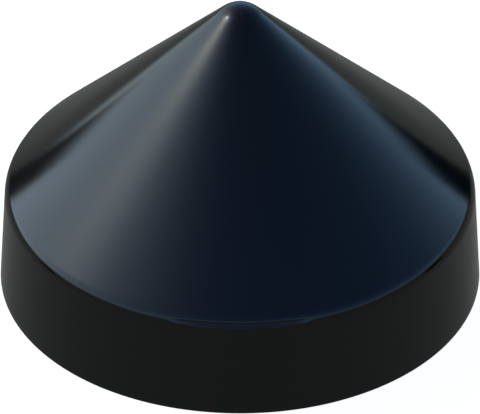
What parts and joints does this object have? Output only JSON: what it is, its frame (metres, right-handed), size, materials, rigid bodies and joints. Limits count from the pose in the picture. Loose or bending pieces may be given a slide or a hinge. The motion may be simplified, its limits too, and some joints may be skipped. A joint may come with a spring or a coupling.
{
  "type": "pile cap",
  "caption": "Hollow conical cap with a drafted skirt and a rounded tip, which slips over the top of a round dock pile to shed water and keep birds off.",
  "frame": {"origin": "centre of the open rim, on the axis of the cap", "axes": "+Z along the axis from the rim up to the tip; X and Y lie in the plane of the rim and are alike, because the cap is round"},
  "size_m": [0.2686, 0.2684, 0.1824],
  "materials": {
    "shell": "black moulded polyethylene, glossy all over"
  },
  "bodies": {
    "root": {"pile_cap": "shell"}
  },
  "joints": []
}
